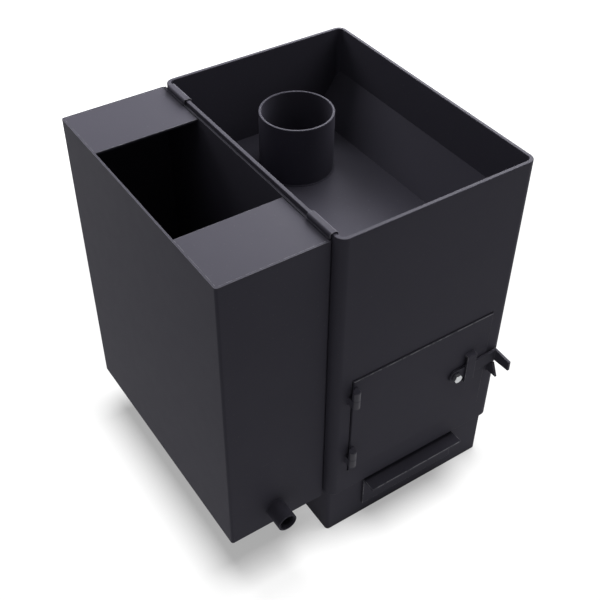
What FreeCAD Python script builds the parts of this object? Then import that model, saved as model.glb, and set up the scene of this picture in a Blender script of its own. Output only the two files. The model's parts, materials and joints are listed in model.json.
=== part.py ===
import FreeCAD, Part
import math
import os

# Wood-fired sauna stove: a steel body with an open stone basket on top, a flue collar in the basket,
# an ash box under the body, a flush firebox door with a drop latch, and a water tank hung on the left rim.
# Millimetres. The origin is on the floor under the middle of the body, +Z is up and the front faces -Y.

# Body shell
BODY_WIDTH = 320.0
BODY_DEPTH = 450.0
RIM_HEIGHT = 600.0
BODY_SHEET = 6.0
BODY_BEND = 8.0
EDGE_ROUND = 1.2
EDGE_SHARE = 0.3

# Ash box under the body
ASH_BOX_HEIGHT = 98.0
ASH_BOX_INSET = 4.0
ASH_BOX_RECESS = 9.0
ASH_BOX_SHEET = 4.0
ASH_BOX_BEND = 2.0

# Stone basket, whose folded floor is the roof of the firebox
BASKET_DEPTH = 143.0
SLOPE_RUN = 48.0
SLOPE_RISE = 68.0
ROOF_SHEET = 6.0

# Flue collar
FLUE_DIAMETER = 115.0
FLUE_WALL = 4.0
FLUE_HEIGHT = 98.0
FLUE_FROM_BACK = 113.0
FLUE_LEDGE = 2.0

# Firebox floor and grate
FLOOR_SHEET = 6.0
GRATE_WIDTH = 150.0
GRATE_LENGTH = 250.0
GRATE_HEIGHT = 18.0
GRATE_FRAME = 14.0
GRATE_SLOT = 10.0
GRATE_BAR = 9.0
GRATE_PLAY = 2.0
GRATE_FORWARD = 40.0
SEAT_WIDTH = 24.0
SEAT_SHEET = 4.0
SEAT_LAP = 12.0

# Firebox door and the stop frame behind it
DOOR_WIDTH = 255.0
DOOR_HEIGHT = 195.0
DOOR_RISE = 46.0
DOOR_SHEET = 8.0
DOOR_GAP = 2.0
STOP_SHEET = 5.0
STOP_LAND = 12.0
STOP_LAP = 8.0
STOP_GAP = 0.5

# Door hinges
HINGE_BARREL = 12.0
HINGE_PIN = 8.0
HINGE_HEIGHT = 32.0
HINGE_CAP = 4.0
HINGE_CLEAR = 1.5
HINGE_SLIT = 0.4
HINGE_LOW = 39.5
HINGE_HIGH = 26.5
PRESSED = 0.02
RUNNING = 0.05

# Drop latch: lever, pivot bolt, guide strap and keeper
PIVOT_INSET = 63.0
PIVOT_RISE = 99.0
LEVER_HEIGHT = 22.0
LEVER_SHEET = 4.0
LEVER_TILT = 2.0
LEVER_LIFT = 26.0
LEVER_PLAY = 0.3
HANDLE_LENGTH = 30.0
HANDLE_DROP = 2.0
HANDLE_END = 18.0
BOLT_DIAMETER = 8.0
BOLT_ACROSS_FLATS = 13.0
BOLT_HEAD = 5.3
BOLT_TAIL = 2.0
NUT_HEIGHT = 6.5
WASHER_DIAMETER = 16.0
WASHER_SHEET = 1.6
GUIDE_OFFSET = 17.0
GUIDE_WIDTH = 18.0
GUIDE_SHEET = 3.0
GUIDE_PLAY = 0.6
GUIDE_ROOM = 6.0
KEEPER_OFFSET = 10.5
KEEPER_SHEET = 4.0
KEEPER_HEIGHT = 20.0
KEEPER_REACH = 20.0
KEEPER_NOSE = 2.0
KEEPER_PLAY = 1.0
NOSE_CLEAR = 0.5
HANDLE_CLEAR = 1.5

# Ash drawer
DRAWER_WIDTH = 180.0
DRAWER_HEIGHT = 60.0
DRAWER_RISE = 26.0
DRAWER_SHEET = 4.0
DRAWER_LIP = 23.0
DRAWER_LAP = 5.0
DRAWER_GAP = 0.5
PAN_LENGTH = 400.0
PAN_SHEET = 2.0
PAN_PLAY = 2.0
RUNNER_WIDTH = 25.0
RUNNER_SHEET = 3.0
RUNNER_LENGTH = 380.0
SLIDE_CLEAR = 0.3

# Water tank
TANK_WIDTH = 163.0
TANK_DEPTH = 431.0
TANK_HEIGHT = 504.0
TANK_DROP = 7.0
TANK_GAP = 0.7
TANK_SETBACK = 16.0
TANK_SHEET = 3.0
TANK_BEND = 1.0
TANK_COVER = 106.0
TANK_UPSTAND = 1.5
HOOK_LENGTH = 50.0
HOOK_SHEET = 2.0
HOOK_BEND = 1.5
HOOK_LIP = 12.0
HOOK_CLEAR = 1.0
HOOK_SEAT = 0.3
HOOK_CORNER_CLEAR = 4.0
NIPPLE_DIAMETER = 31.0
NIPPLE_WALL = 3.44
NIPPLE_LENGTH = 34.0
NIPPLE_SIDE = 76.0
NIPPLE_RISE = 34.0

TOUCH = 0.001

# Planes of the body
BODY_FRONT = -BODY_DEPTH / 2
BODY_BACK = BODY_DEPTH / 2
BODY_SIDE = BODY_WIDTH / 2
ROOM_SIDE = BODY_SIDE - BODY_SHEET
ROOM_FRONT = BODY_FRONT + BODY_SHEET
ROOM_BACK = BODY_BACK - BODY_SHEET
BASKET_FLOOR = RIM_HEIGHT - BASKET_DEPTH
FLUE_Y = BODY_BACK - FLUE_FROM_BACK

# Planes of the ash box
ASH_SIDE = BODY_SIDE - ASH_BOX_INSET
ASH_FRONT = BODY_FRONT + ASH_BOX_RECESS
ASH_BACK = BODY_BACK - ASH_BOX_RECESS

# Planes of the door and its opening
DOOR_SIDE = DOOR_WIDTH / 2
DOOR_BOTTOM = ASH_BOX_HEIGHT + DOOR_RISE
DOOR_TOP = DOOR_BOTTOM + DOOR_HEIGHT
DOOR_BACK = ROOM_FRONT - STOP_GAP
DOOR_FACE = DOOR_BACK - DOOR_SHEET
OPENING_SIDE = DOOR_SIDE + DOOR_GAP
OPENING_BOTTOM = DOOR_BOTTOM - DOOR_GAP
OPENING_TOP = DOOR_TOP + DOOR_GAP

# Hinge axis, over the gap on the left of the door
HINGE_RADIUS = HINGE_BARREL / 2
HINGE_X = -DOOR_SIDE - DOOR_GAP / 2
HINGE_Y = min(DOOR_FACE, BODY_FRONT) - HINGE_CLEAR - HINGE_RADIUS
HINGE_MIDDLES = (DOOR_BOTTOM + HINGE_LOW, DOOR_TOP - HINGE_HIGH)

# Latch planes, stacked outwards from the door's face
PIVOT_X = DOOR_SIDE - PIVOT_INSET
PIVOT_Z = DOOR_BOTTOM + PIVOT_RISE
LEVER_BACK = DOOR_FACE - LEVER_PLAY
LEVER_FACE = LEVER_BACK - LEVER_SHEET
OUTER_WASHER = LEVER_FACE - LEVER_PLAY
HEAD_SEAT = OUTER_WASHER - WASHER_SHEET
NUT_SEAT = DOOR_BACK + WASHER_SHEET
KEEPER_X = DOOR_SIDE + KEEPER_OFFSET
LEVER_END = KEEPER_X + KEEPER_SHEET + HANDLE_CLEAR + LEVER_SHEET
LEVER_LOW = PIVOT_Z - LEVER_HEIGHT / 2

# Planes of the ash drawer and the opening that it slides through
DRAWER_SIDE = DRAWER_WIDTH / 2
DRAWER_TOP = DRAWER_RISE + DRAWER_HEIGHT
DRAWER_BACK = ASH_FRONT - DRAWER_GAP
DRAWER_FACE = DRAWER_BACK - DRAWER_SHEET
SLOT_SIDE = DRAWER_SIDE - DRAWER_LAP
SLOT_BOTTOM = DRAWER_RISE + DRAWER_LAP
SLOT_TOP = DRAWER_TOP - DRAWER_LAP
PAN_SIDE = SLOT_SIDE - PAN_PLAY
PAN_BOTTOM = SLOT_BOTTOM + PAN_PLAY
PAN_TOP = SLOT_TOP - PAN_PLAY

# Planes of the tank
TANK_RIGHT = -BODY_SIDE - TANK_GAP
TANK_LEFT = TANK_RIGHT - TANK_WIDTH
TANK_FRONT = BODY_FRONT + TANK_SETBACK
TANK_BACK = TANK_FRONT + TANK_DEPTH
TANK_TOP = RIM_HEIGHT - TANK_DROP
TANK_BOTTOM = TANK_TOP - TANK_HEIGHT
TANK_X = (TANK_LEFT + TANK_SHEET, TANK_RIGHT - TANK_SHEET)
TANK_Y = (TANK_FRONT + TANK_SHEET, TANK_BACK - TANK_SHEET)
NIPPLE_X = TANK_LEFT + NIPPLE_SIDE
NIPPLE_Z = TANK_BOTTOM + NIPPLE_RISE
NIPPLE_BORE = NIPPLE_DIAMETER / 2 - NIPPLE_WALL

RIGHT = FreeCAD.Vector(1, 0, 0)
OUT = FreeCAD.Vector(0, -1, 0)
UP = FreeCAD.Vector(0, 0, 1)


def block(x, y, z):
    """Block between three pairs of limits."""
    corner = FreeCAD.Vector(x[0], y[0], z[0])
    return Part.makeBox(x[1] - x[0], y[1] - y[0], z[1] - z[0], corner)


def edges_along(edges, axis):
    """Straight ones of some edges that run along an axis."""
    straight = [edge for edge in edges if edge.Curve.TypeId == "Part::GeomLine"]
    return [edge for edge in straight if abs(edge.Curve.Direction.dot(axis)) > 1 - TOUCH]


def edges_at(shape, low, high, level):
    """Edges of a shape that lie flat in a plane, given by two names of its box and a level."""
    lows = [edge for edge in shape.Edges if abs(getattr(edge.BoundBox, low) - level) < TOUCH]
    return [edge for edge in lows if abs(getattr(edge.BoundBox, high) - level) < TOUCH]


def round_block(x, y, z, corner):
    """Block with rounded upright corners."""
    plain = block(x, y, z)
    return plain.makeFillet(corner, edges_along(plain.Edges, UP))


def edge_round(sheet):
    """Rounding of a sheet's cut edges, limited by the sheet itself."""
    return min(EDGE_ROUND, EDGE_SHARE * sheet)


def rod(radius, x, y, z, axis, length):
    """Round rod from a point along an axis."""
    return Part.makeCylinder(radius, length, FreeCAD.Vector(x, y, z), axis)


def side_plate(outline, x):
    """Plate with an outline of (y, z) points, between two limits of x."""
    points = [FreeCAD.Vector(x[0], y, z) for y, z in outline + outline[:1]]
    return Part.Face(Part.makePolygon(points)).extrude(RIGHT * (x[1] - x[0]))


def front_plate(outline, y):
    """Plate with an outline of (x, z) points, between two limits of y."""
    points = [FreeCAD.Vector(x, y[1], z) for x, z in outline + outline[:1]]
    return Part.Face(Part.makePolygon(points)).extrude(OUT * (y[1] - y[0]))


def hexagon(across_flats, y):
    """Hexagonal prism round the latch pivot, between two limits of y."""
    radius = across_flats / math.sqrt(3)
    turns = [math.radians(60 * side) for side in range(6)]
    outline = [(PIVOT_X + radius * math.cos(t), PIVOT_Z + radius * math.sin(t)) for t in turns]
    return front_plate(outline, y)


def pivot_rod(radius, y):
    """Round rod on the latch pivot, between two limits of y."""
    return rod(radius, PIVOT_X, y[1], PIVOT_Z, OUT, y[1] - y[0])


def body_room(z):
    """Space inside the body shell, between two heights."""
    return round_block((-ROOM_SIDE, ROOM_SIDE), (ROOM_FRONT, ROOM_BACK), z, BODY_BEND)


def body_shell():
    """Body of bent sheet, open at the top and bottom, with the door opening in its front wall."""
    walls = (ASH_BOX_HEIGHT, RIM_HEIGHT)
    corner = BODY_BEND + BODY_SHEET
    solid = round_block((-BODY_SIDE, BODY_SIDE), (BODY_FRONT, BODY_BACK), walls, corner)
    opening_x = (-OPENING_SIDE, OPENING_SIDE)
    opening = block(opening_x, (BODY_FRONT, ROOM_FRONT), (OPENING_BOTTOM, OPENING_TOP))
    shell = solid.cut(body_room(walls)).cut(opening).Solids[0]
    rim = edges_at(shell, "ZMin", "ZMax", RIM_HEIGHT)
    return shell.makeFillet(edge_round(BODY_SHEET), rim)


def basket_floor():
    """Folded plate: a flat floor with a slope up to each side wall, and a hole under the flue."""
    flat = ROOM_SIDE - SLOPE_RUN
    slope = math.atan2(SLOPE_RISE, SLOPE_RUN)
    fold = flat + ROOF_SHEET * math.tan(slope / 2)
    top = BASKET_FLOOR + SLOPE_RISE
    under = top - ROOF_SHEET / math.cos(slope)
    right = [(flat, BASKET_FLOOR), (ROOM_SIDE, top), (ROOM_SIDE, under), (fold, BASKET_FLOOR - ROOF_SHEET)]
    left = [(-x, z) for x, z in reversed(right)]
    plate = front_plate(right + left, (ROOM_FRONT, ROOM_BACK))
    plate = plate.common(body_room((BASKET_FLOOR - ROOF_SHEET, top)))
    radius = FLUE_DIAMETER / 2 - FLUE_WALL - FLUE_LEDGE
    hole = rod(radius, 0, FLUE_Y, BASKET_FLOOR - ROOF_SHEET, UP, ROOF_SHEET)
    return plate.cut(hole)


def flue_collar():
    """Pipe stub on the basket floor, round the flue hole."""
    radius = FLUE_DIAMETER / 2
    outside = rod(radius, 0, FLUE_Y, BASKET_FLOOR, UP, FLUE_HEIGHT)
    inside = rod(radius - FLUE_WALL, 0, FLUE_Y, BASKET_FLOOR, UP, FLUE_HEIGHT)
    pipe = outside.cut(inside).Solids[0]
    top = BASKET_FLOOR + FLUE_HEIGHT
    return pipe.makeFillet(edge_round(FLUE_WALL), edges_at(pipe, "ZMin", "ZMax", top))


def grate_block(margin, z):
    """Block round the grate's middle, larger than the grate by a margin all round."""
    half_width = GRATE_WIDTH / 2 + margin
    half_length = GRATE_LENGTH / 2 + margin
    return block((-half_width, half_width), (-GRATE_FORWARD - half_length, -GRATE_FORWARD + half_length), z)


def firebox_floor():
    """Plate across the bottom of the body, with the opening that the grate lies in."""
    z = (ASH_BOX_HEIGHT, ASH_BOX_HEIGHT + FLOOR_SHEET)
    return body_room(z).cut(grate_block(GRATE_PLAY, z))


def grate_seats():
    """Two strips under the firebox floor that carry the grate along its long sides."""
    inner = GRATE_WIDTH / 2 - SEAT_LAP
    half_length = GRATE_LENGTH / 2 + GRATE_PLAY
    y = (-GRATE_FORWARD - half_length, -GRATE_FORWARD + half_length)
    z = (ASH_BOX_HEIGHT - SEAT_SHEET, ASH_BOX_HEIGHT)
    strips = [block(x, y, z) for x in ((inner, inner + SEAT_WIDTH), (-inner - SEAT_WIDTH, -inner))]
    return Part.makeCompound(strips)


def fire_grate():
    """Cast grate: a frame, a middle cross bar and rows of slots."""
    z = (ASH_BOX_HEIGHT, ASH_BOX_HEIGHT + GRATE_HEIGHT)
    grate = grate_block(0, z)
    pitch = GRATE_SLOT + GRATE_BAR
    count = int((GRATE_WIDTH - 2 * GRATE_FRAME + GRATE_BAR) // pitch)
    slot_length = (GRATE_LENGTH - 2 * GRATE_FRAME - GRATE_BAR) / 2
    for row in range(count):
        middle = (row - (count - 1) / 2) * pitch
        x = (middle - GRATE_SLOT / 2, middle + GRATE_SLOT / 2)
        for start in (-GRATE_BAR / 2 - slot_length, GRATE_BAR / 2):
            y = (start - GRATE_FORWARD, start + slot_length - GRATE_FORWARD)
            grate = grate.cut(block(x, y, z))
    return grate


def ash_box_shell():
    """Four walls of the ash box, with the drawer's opening in the front."""
    z = (0, ASH_BOX_HEIGHT)
    corner = ASH_BOX_BEND + ASH_BOX_SHEET
    solid = round_block((-ASH_SIDE, ASH_SIDE), (ASH_FRONT, ASH_BACK), z, corner)
    slot_y = (ASH_FRONT, ASH_FRONT + ASH_BOX_SHEET)
    slot = block((-SLOT_SIDE, SLOT_SIDE), slot_y, (SLOT_BOTTOM, SLOT_TOP))
    return solid.cut(ash_box_room(z)).cut(slot)


def ash_box_room(z):
    """Space inside the ash box, between two heights."""
    x = (-ASH_SIDE + ASH_BOX_SHEET, ASH_SIDE - ASH_BOX_SHEET)
    return round_block(x, (ASH_FRONT + ASH_BOX_SHEET, ASH_BACK - ASH_BOX_SHEET), z, ASH_BOX_BEND)


def ash_box_base():
    """Bottom plate of the ash box, flush with the lower edges of its walls."""
    return ash_box_room((0, ASH_BOX_SHEET))


def drawer_runners():
    """Two inverted angles on the bottom plate that the ash pan slides on."""
    top = PAN_BOTTOM - SLIDE_CLEAR
    start = ASH_FRONT + ASH_BOX_SHEET
    y = (start, start + RUNNER_LENGTH)
    runners = []
    for side in (1, -1):
        edges = sorted((side * PAN_SIDE, side * (PAN_SIDE - RUNNER_WIDTH)))
        web = sorted((side * PAN_SIDE, side * (PAN_SIDE - RUNNER_SHEET)))
        track = block(edges, y, (top - RUNNER_SHEET, top))
        runners.append(track.fuse(block(web, y, (ASH_BOX_SHEET, top))).removeSplitter())
    return Part.makeCompound(runners)


def door_stop():
    """Flat frame behind the front wall that the closed door lies against."""
    y = (ROOM_FRONT, ROOM_FRONT + STOP_SHEET)
    outer_side = OPENING_SIDE + STOP_LAND
    inner_side = OPENING_SIDE - STOP_LAP
    outer_z = (OPENING_BOTTOM - STOP_LAND, OPENING_TOP + STOP_LAND)
    inner_z = (OPENING_BOTTOM + STOP_LAP, OPENING_TOP - STOP_LAP)
    frame = block((-outer_side, outer_side), y, outer_z)
    return frame.cut(block((-inner_side, inner_side), y, inner_z))


def door_plate():
    """Flat door with rounded outer edges and the hole of the latch bolt."""
    plate = block((-DOOR_SIDE, DOOR_SIDE), (DOOR_FACE, DOOR_BACK), (DOOR_BOTTOM, DOOR_TOP))
    plate = plate.makeFillet(edge_round(DOOR_SHEET), edges_at(plate, "YMin", "YMax", DOOR_FACE))
    return plate.cut(pivot_rod(BOLT_DIAMETER / 2 + PRESSED, (DOOR_FACE, DOOR_BACK)))


def hinge_half(wing_x, wing_back, z, hole):
    """Barrel of one half hinge, with the wing that is welded to what it carries."""
    barrel = rod(HINGE_RADIUS, HINGE_X, HINGE_Y, z[0], UP, z[1] - z[0])
    barrel = barrel.makeFillet(edge_round(HINGE_RADIUS), edges_at(barrel, "ZMin", "ZMax", z[1]))
    wing_top = z[1] - edge_round(HINGE_RADIUS)
    wing = block(wing_x, (HINGE_Y, wing_back), (z[0], wing_top))
    return barrel.fuse(wing).removeSplitter().cut(hole)


def hinge_frame_halves():
    """Lower halves of the hinges, on the front wall."""
    halves = []
    for middle in HINGE_MIDDLES:
        z = (middle - HINGE_HEIGHT / 2, middle - HINGE_SLIT / 2)
        hole = rod(HINGE_PIN / 2 + PRESSED, HINGE_X, HINGE_Y, z[0], UP, z[1] - z[0])
        halves.append(hinge_half((HINGE_X - HINGE_RADIUS, -OPENING_SIDE), BODY_FRONT, z, hole))
    return Part.makeCompound(halves)


def hinge_door_halves():
    """Upper halves of the hinges, on the door, closed at the top by a cap."""
    halves = []
    wing_x = (-DOOR_SIDE + edge_round(DOOR_SHEET), HINGE_X + HINGE_RADIUS)
    for middle in HINGE_MIDDLES:
        z = (middle + HINGE_SLIT / 2, middle + HINGE_HEIGHT / 2)
        depth = z[1] - HINGE_CAP - z[0]
        hole = rod(HINGE_PIN / 2 + RUNNING, HINGE_X, HINGE_Y, z[0], UP, depth)
        halves.append(hinge_half(wing_x, DOOR_FACE, z, hole))
    return Part.makeCompound(halves)


def hinge_pins():
    """Pins pressed into the lower hinge halves."""
    length = HINGE_HEIGHT - HINGE_CAP - HINGE_SLIT
    lows = [middle - HINGE_HEIGHT / 2 for middle in HINGE_MIDDLES]
    return Part.makeCompound([rod(HINGE_PIN / 2, HINGE_X, HINGE_Y, low, UP, length) for low in lows])


def latch_bolt():
    """Hexagon-headed pivot bolt through the lever and the door."""
    head = hexagon(BOLT_ACROSS_FLATS, (HEAD_SEAT - BOLT_HEAD, HEAD_SEAT))
    shank = pivot_rod(BOLT_DIAMETER / 2, (HEAD_SEAT, NUT_SEAT + NUT_HEIGHT + BOLT_TAIL))
    return head.fuse(shank)


def latch_nut():
    """Hexagon nut of the pivot bolt, inside the door."""
    y = (NUT_SEAT, NUT_SEAT + NUT_HEIGHT)
    return hexagon(BOLT_ACROSS_FLATS, y).cut(pivot_rod(BOLT_DIAMETER / 2 + PRESSED, y))


def latch_washers():
    """Washers under the bolt's head and under the nut."""
    washers = []
    for start in (HEAD_SEAT, DOOR_BACK):
        y = (start, start + WASHER_SHEET)
        hole = pivot_rod(BOLT_DIAMETER / 2 + PRESSED, y)
        washers.append(pivot_rod(WASHER_DIAMETER / 2, y).cut(hole))
    return Part.makeCompound(washers)


def latch_lever():
    """Flat lever with a round end on the pivot, its other end bent outwards as a handle."""
    y = (LEVER_FACE, LEVER_BACK)
    top = LEVER_LOW + LEVER_HEIGHT
    bar = block((PIVOT_X, LEVER_END), y, (LEVER_LOW, top)).fuse(pivot_rod(LEVER_HEIGHT / 2, y))
    end = LEVER_FACE - HANDLE_LENGTH
    end_top = top - HANDLE_DROP
    outline = [(LEVER_BACK, LEVER_LOW), (LEVER_BACK, top), (LEVER_FACE, top)]
    outline += [(end, end_top), (end, end_top - HANDLE_END), (LEVER_FACE, LEVER_LOW)]
    lever = bar.fuse(side_plate(outline, (LEVER_END - LEVER_SHEET, LEVER_END))).removeSplitter()
    lever = lever.cut(pivot_rod(BOLT_DIAMETER / 2 + RUNNING, y))
    lever.rotate(FreeCAD.Vector(PIVOT_X, 0, PIVOT_Z), OUT, LEVER_TILT)
    return lever


def latch_guide():
    """Strap on the door, over the lever, whose upper leg limits the lever's swing."""
    inner = LEVER_FACE - GUIDE_PLAY
    outer = inner - GUIDE_SHEET
    swing = math.radians(LEVER_TILT + LEVER_LIFT)
    reach = GUIDE_OFFSET + GUIDE_WIDTH
    lifted = PIVOT_Z + reach * math.tan(swing) + LEVER_HEIGHT / 2 / math.cos(swing)
    high = lifted + GUIDE_PLAY
    low = LEVER_LOW - GUIDE_ROOM
    foot = low - GUIDE_SHEET
    top = high + GUIDE_SHEET
    outline = [(DOOR_FACE, foot), (outer, foot), (outer, top), (DOOR_FACE, top)]
    outline += [(DOOR_FACE, high), (inner, high), (inner, low), (DOOR_FACE, low)]
    strap = side_plate(outline, (PIVOT_X + GUIDE_OFFSET, PIVOT_X + reach))
    folds = edges_along(edges_at(strap, "YMin", "YMax", outer), RIGHT)
    return strap.makeFillet(edge_round(GUIDE_SHEET), folds)


def latch_keeper():
    """Hooked plate on the front wall: a ramp up to a nose, and the notch behind it for the lever."""
    tilt = math.radians(LEVER_TILT)
    lever_low = PIVOT_Z + (KEEPER_X - PIVOT_X) * math.tan(tilt) - LEVER_HEIGHT / 2 / math.cos(tilt)
    nose = lever_low - NOSE_CLEAR
    notch = LEVER_LOW - KEEPER_PLAY
    nose_in = LEVER_FACE - KEEPER_PLAY
    foot = notch - KEEPER_HEIGHT
    outline = [(BODY_FRONT, foot), (BODY_FRONT - KEEPER_REACH, foot), (nose_in - KEEPER_NOSE, nose)]
    outline += [(nose_in, nose), (nose_in, notch), (BODY_FRONT, notch)]
    return side_plate(outline, (KEEPER_X, KEEPER_X + KEEPER_SHEET))


def ash_drawer_front():
    """Front plate of the ash drawer, its upper edge bent outwards as a pull lip."""
    x = (-DRAWER_SIDE, DRAWER_SIDE)
    lip_z = (DRAWER_TOP - DRAWER_SHEET, DRAWER_TOP)
    plate = block(x, (DRAWER_FACE, DRAWER_BACK), (DRAWER_RISE, DRAWER_TOP))
    lip_front = DRAWER_FACE - DRAWER_LIP
    front = plate.fuse(block(x, (lip_front, DRAWER_BACK), lip_z)).removeSplitter().Solids[0]
    rounded = edges_at(front, "YMin", "YMax", lip_front)
    return front.makeFillet(edge_round(DRAWER_SHEET), rounded)


def ash_pan():
    """Open pan behind the drawer front: a bottom and four walls, longer than the whole grate."""
    x = (-PAN_SIDE, PAN_SIDE)
    y = (DRAWER_BACK, DRAWER_BACK + PAN_LENGTH)
    walls = (PAN_BOTTOM + PAN_SHEET, PAN_TOP)
    plates = [block(x, y, (PAN_BOTTOM, walls[0]))]
    plates += [block(x, (start, start + PAN_SHEET), walls) for start in (y[0], y[1] - PAN_SHEET)]
    between = (y[0] + PAN_SHEET, y[1] - PAN_SHEET)
    plates += [block((start, start + PAN_SHEET), between, walls) for start in (x[0], x[1] - PAN_SHEET)]
    return Part.makeCompound(plates)


def tank_walls():
    """Four walls of the tank, with an upstand along the stove and the hole of the outlet."""
    z = (TANK_BOTTOM, TANK_TOP)
    corner = TANK_BEND + TANK_SHEET
    outside = round_block((TANK_LEFT, TANK_RIGHT), (TANK_FRONT, TANK_BACK), z, corner)
    upstand_x = (TANK_RIGHT - TANK_SHEET, TANK_RIGHT)
    upstand_y = (TANK_FRONT + corner, TANK_BACK - corner)
    walls = outside.cut(round_block(TANK_X, TANK_Y, z, TANK_BEND)).Solids[0]
    upstand = block(upstand_x, upstand_y, (TANK_TOP - TANK_SHEET, TANK_TOP + TANK_UPSTAND))
    outlet = rod(NIPPLE_BORE, NIPPLE_X, TANK_FRONT + TANK_SHEET, NIPPLE_Z, OUT, TANK_SHEET)
    return walls.fuse(upstand).removeSplitter().cut(outlet)


def tank_bottom():
    """Bottom plate between the tank walls."""
    return round_block(TANK_X, TANK_Y, (TANK_BOTTOM, TANK_BOTTOM + TANK_SHEET), TANK_BEND)


def tank_cover(front):
    """Strip that closes the top of the tank at its front or rear end."""
    whole = round_block(TANK_X, TANK_Y, (TANK_TOP - TANK_SHEET, TANK_TOP), TANK_BEND)
    strip_y = (TANK_FRONT, TANK_FRONT + TANK_COVER) if front else (TANK_BACK - TANK_COVER, TANK_BACK)
    return whole.common(block((TANK_LEFT, TANK_RIGHT), strip_y, (TANK_TOP - TANK_SHEET, TANK_TOP)))


def tank_front_cover():
    """Closed strip at the front of the tank's top."""
    return tank_cover(True)


def tank_rear_cover():
    """Closed strip at the rear of the tank's top."""
    return tank_cover(False)


def tank_hooks():
    """Two hooks of bent strip that stand on the tank's upstand and hang it on the body's left rim."""
    foot = TANK_TOP + TANK_UPSTAND
    leg = (TANK_RIGHT - TANK_SHEET, TANK_RIGHT - TANK_SHEET + HOOK_SHEET)
    lip = (-ROOM_SIDE + HOOK_CLEAR, -ROOM_SIDE + HOOK_CLEAR + HOOK_SHEET)
    under = RIM_HEIGHT + HOOK_SEAT
    top = under + HOOK_SHEET
    outline = [(leg[0], foot), (leg[0], top), (lip[1], top), (lip[1], top - HOOK_LIP)]
    outline += [(lip[0], top - HOOK_LIP), (lip[0], under), (leg[1], under), (leg[1], foot)]
    reach = ROOM_BACK - BODY_BEND - HOOK_CORNER_CLEAR
    hooks = []
    for y in ((-reach, -reach + HOOK_LENGTH), (reach - HOOK_LENGTH, reach)):
        hook = front_plate(outline, y)
        hook = hook.makeFillet(HOOK_BEND, edges_along(edges_at(hook, "ZMin", "ZMax", under), OUT))
        folds = edges_along(edges_at(hook, "ZMin", "ZMax", top), OUT)
        hooks.append(hook.makeFillet(HOOK_BEND + HOOK_SHEET, folds))
    return Part.makeCompound(hooks)


def outlet_nipple():
    """Short pipe socket on the front of the tank for the water tap."""
    pipe = rod(NIPPLE_DIAMETER / 2, NIPPLE_X, TANK_FRONT, NIPPLE_Z, OUT, NIPPLE_LENGTH)
    bore = rod(NIPPLE_BORE, NIPPLE_X, TANK_FRONT, NIPPLE_Z, OUT, NIPPLE_LENGTH)
    nipple = pipe.cut(bore).Solids[0]
    end = edges_at(nipple, "YMin", "YMax", TANK_FRONT - NIPPLE_LENGTH)
    return nipple.makeChamfer(edge_round(NIPPLE_WALL), end)


PIECES = (
    body_shell, basket_floor, flue_collar, firebox_floor, grate_seats, fire_grate,
    ash_box_shell, ash_box_base, drawer_runners, door_stop, latch_keeper, hinge_frame_halves, hinge_pins,
    door_plate, hinge_door_halves, latch_guide, latch_bolt, latch_washers, latch_nut, latch_lever,
    ash_drawer_front, ash_pan,
    tank_walls, tank_bottom, tank_front_cover, tank_rear_cover, tank_hooks, outlet_nipple,
)

os.makedirs("parts", exist_ok=True)
for piece in PIECES:
    piece().exportStep("parts/" + piece.__name__ + ".step")
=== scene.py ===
import json
import math

import bmesh
import bpy
from bpy.props import FloatProperty, FloatVectorProperty, IntProperty, PointerProperty
from mathutils import Matrix, Vector

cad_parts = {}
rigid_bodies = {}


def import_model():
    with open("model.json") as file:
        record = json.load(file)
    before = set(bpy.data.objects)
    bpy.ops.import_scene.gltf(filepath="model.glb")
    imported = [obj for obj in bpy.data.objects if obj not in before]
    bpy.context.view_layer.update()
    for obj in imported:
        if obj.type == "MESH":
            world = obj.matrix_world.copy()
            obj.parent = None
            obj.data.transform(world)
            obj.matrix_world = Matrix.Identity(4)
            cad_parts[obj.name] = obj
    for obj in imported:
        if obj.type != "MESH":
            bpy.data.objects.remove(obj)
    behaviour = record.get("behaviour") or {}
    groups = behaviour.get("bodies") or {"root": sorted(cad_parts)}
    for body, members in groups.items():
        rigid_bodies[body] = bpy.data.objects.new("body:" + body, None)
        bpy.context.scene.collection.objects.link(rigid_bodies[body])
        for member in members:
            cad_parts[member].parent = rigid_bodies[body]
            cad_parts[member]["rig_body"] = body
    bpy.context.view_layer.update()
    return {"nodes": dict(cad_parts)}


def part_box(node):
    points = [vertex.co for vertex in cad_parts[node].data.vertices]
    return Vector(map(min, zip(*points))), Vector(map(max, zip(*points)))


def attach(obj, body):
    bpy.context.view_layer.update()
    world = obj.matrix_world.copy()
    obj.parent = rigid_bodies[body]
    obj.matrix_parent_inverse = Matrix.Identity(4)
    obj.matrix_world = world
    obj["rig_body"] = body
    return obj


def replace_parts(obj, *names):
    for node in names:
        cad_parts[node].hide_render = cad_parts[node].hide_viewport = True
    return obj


# A wood-fired sauna stove with a hung water tank: paint, bare metal, weld beads and threads over its frame,
# and the stage that it is pictured on. Metres, with the door facing -Y and the tank on the -X side.

bl_info = {
    "name": "Sauna stove dresser",
    "version": (1, 0, 0),
    "blender": (4, 5, 0),
    "location": "View3D > Sidebar > Stove",
    "description": "Gives the sauna stove its paint, metals, welds and threads, and sets its stage",
    "category": "Object",
}

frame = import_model()
MM = 0.001

# Rounded edges, their rubbed-thin paint and their painted highlights
WEAR_AND_HIGHLIGHT = "edge_wear"  # attribute that marks faces for rubbed-thin paint and painted highlight
SAME_PLACE = 0.002 * MM  # points nearer than this become one
FLAT_ANGLE = math.radians(0.5)  # faces that bend less than this become one
SHARP_ANGLE = math.radians(50)  # edges that bend more than this are rounded
ROUND_WIDTH = 2.0 * MM  # upward faces narrower than this count as edges
UPWARD = 0.25  # least upward share of such a face's normal
GRATE_EDGE = 3.0  # rounding of some pieces, in shares of the sheets' own
DOOR_EDGE = 2.6
HINGE_EDGE = 2.0
LATCH_EDGE = 1.5
DRAWER_EDGE = 2.2
WASHER_EDGE = 0.25 * MM
FRONT_HIGHLIGHT = 1.5  # painted highlight on the upper edges of the door and the drawer front, where other edges have 1
# painted highlight on the upper edges of the tank walls
TANK_HIGHLIGHT = 2.2

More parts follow.
